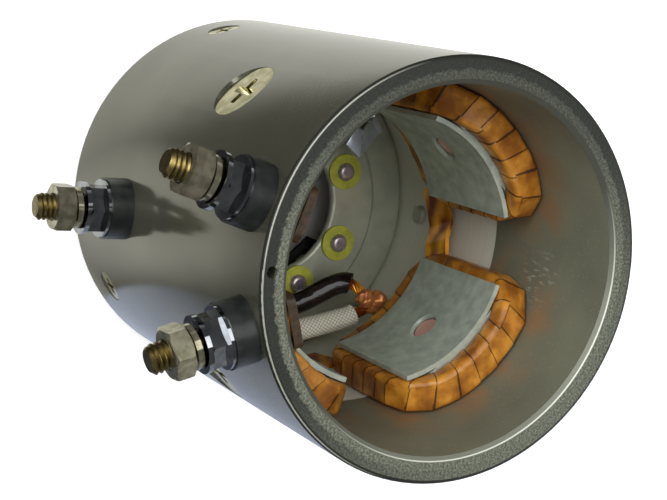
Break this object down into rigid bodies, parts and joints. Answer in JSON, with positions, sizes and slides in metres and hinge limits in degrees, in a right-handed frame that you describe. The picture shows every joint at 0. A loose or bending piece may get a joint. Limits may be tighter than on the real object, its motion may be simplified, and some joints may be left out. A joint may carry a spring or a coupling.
{
  "type": "wound motor stator",
  "caption": "Steel tube field frame with taped field coils on curved pole shoes, insulated terminal studs and a riveted brush plate in the far end.",
  "frame": {"origin": "centre of the bore at the commutator end face of the tube", "axes": "+Z along the bore axis towards the open end, -Y towards the terminal studs"},
  "size_m": [0.1142, 0.1411, 0.1375],
  "materials": {
    "enamelled_steel": "glossy olive-grey enamel, bare machined rim",
    "pole_steel": "bare sheet steel",
    "zinc_steel": "yellow zinc plate",
    "bright_steel": "bright plate",
    "coil_wrap": "varnished crepe paper",
    "copper": "bare copper",
    "stud_brass": "plated thread",
    "black_plastic": "glossy moulded phenolic",
    "fibre": "vulcanised fibre",
    "washer_zinc": "yellow-green chromate",
    "plate_steel": "grey coated steel",
    "white_braid": "braided glass sleeve",
    "black_sleeve": "varnished sleeve",
    "spring_steel": "blued strip"
  },
  "bodies": {
    "root": {"field_frame": "enamelled_steel", "pole_shoe_1": "pole_steel", "field_coil_1": "coil_wrap", "brush_holder_1": "zinc_steel", "holder_insulator_1": "fibre", "brush_spring_1": "spring_steel", "pole_shoe_2": "pole_steel", "field_coil_2": "coil_wrap", "brush_holder_2": "zinc_steel", "holder_insulator_2": "fibre", "brush_spring_2": "spring_steel", "pole_shoe_3": "pole_steel", "field_coil_3": "coil_wrap", "brush_holder_3": "zinc_steel", "holder_insulator_3": "fibre", "brush_spring_3": "spring_steel", "pole_shoe_4": "pole_steel", "field_coil_4": "coil_wrap", "brush_holder_4": "zinc_steel", "holder_insulator_4": "fibre", "brush_spring_4": "spring_steel", "coil_link_1": "copper", "terminal_stud_1": "stud_brass", "terminal_bushing_1": "black_plastic", "inner_insulator_1": "fibre", "coil_link_2": "copper", "terminal_stud_2": "stud_brass", "terminal_bushing_2": "black_plastic", "inner_insulator_2": "fibre", "coil_link_3": "copper", "terminal_stud_3": "stud_brass", "terminal_bushing_3": "black_plastic", "inner_insulator_3": "fibre", "coil_lead_1": "copper", "coil_lead_cover_1": "coil_wrap", "coil_lead_2": "copper", "coil_lead_cover_2": "coil_wrap", "pole_screws": "zinc_steel", "head_caps": "coil_wrap", "fibre_washers": "black_plastic", "clamp_washers": "bright_steel", "base_nuts": "bright_steel", "flat_washers": "bright_steel", "lock_washers": "zinc_steel", "outer_nuts": "zinc_steel", "brush_plate": "plate_steel", "plate_screws": "zinc_steel", "holder_rivets": "bright_steel", "rivet_washers": "washer_zinc", "wall_pin": "pole_steel", "armature_lug": "copper", "armature_lead": "copper", "armature_lead_sleeve": "white_braid", "brush_lead": "copper", "brush_lead_sleeve": "black_sleeve", "lead_splice": "copper"}
  },
  "joints": []
}
